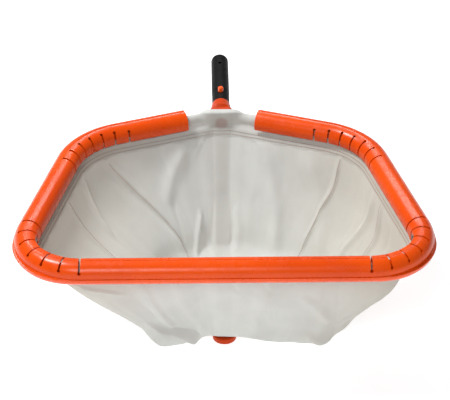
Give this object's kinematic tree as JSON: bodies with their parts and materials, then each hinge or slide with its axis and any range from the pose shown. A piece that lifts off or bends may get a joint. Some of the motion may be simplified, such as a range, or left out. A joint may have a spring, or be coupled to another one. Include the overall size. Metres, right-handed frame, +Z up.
{
  "type": "leaf skimmer net",
  "caption": "Bagged leaf skimmer net: a mesh bag on a bent tube loop with a press-on edge channel, a support arm and a handle that locks into a telescopic pole.",
  "frame": {"origin": "middle of the whole net's footprint, on the surface that the support arm stands on", "axes": "+Z up out of the mouth, +Y from the front rail to the handle, +X to the right of the mouth"},
  "size_m": [0.5984, 0.6165, 0.2048],
  "materials": {
    "frame_tube": "satin",
    "edge_channel": "glossy orange moulded plastic",
    "mesh": "fine off-white woven polyester mesh, translucent",
    "socket": "satin orange moulded plastic",
    "handle": "fine-grained black moulded plastic",
    "button": "glossy orange moulded plastic",
    "steel": "stainless"
  },
  "bodies": {
    "net": {"frame_tube": "frame_tube", "snap_clip": "edge_channel", "hem_sleeve": "mesh", "bag_front_panel": "mesh", "bag_right_front_gusset": "mesh", "bag_right_panel": "mesh", "bag_right_rear_gusset": "mesh", "bag_right_rear_panel": "mesh", "bag_left_rear_panel": "mesh", "bag_left_rear_gusset": "mesh", "bag_left_panel": "mesh", "bag_left_front_gusset": "mesh", "bag_floor": "mesh", "socket_upper_shell": "socket", "socket_lower_shell": "socket", "support_arm": "socket", "handle_collar": "socket", "handle_sleeve": "handle", "handle_end_plug": "handle", "spring_seat": "handle", "lock_spring": "steel", "handle_cross_pin": "steel", "frame_rivets": "steel", "socket_screws": "steel"},
    "upper_button": {"upper_lock_button": "button"},
    "lower_button": {"lower_lock_button": "button"}
  },
  "joints": [
    {"name": "upper_button_press", "type": "slide", "parent": "net", "child": "upper_button", "axis": [0, 0, -1], "range_m": [0, 0.0065], "stiffness_N_per_m": 1500, "deforming": ["lock_spring"]},
    {"name": "lower_button_press", "type": "slide", "parent": "net", "child": "lower_button", "axis": [0, 0, 1], "range_m": [0, 0.0065], "stiffness_N_per_m": 1500, "deforming": ["lock_spring"]}
  ]
}
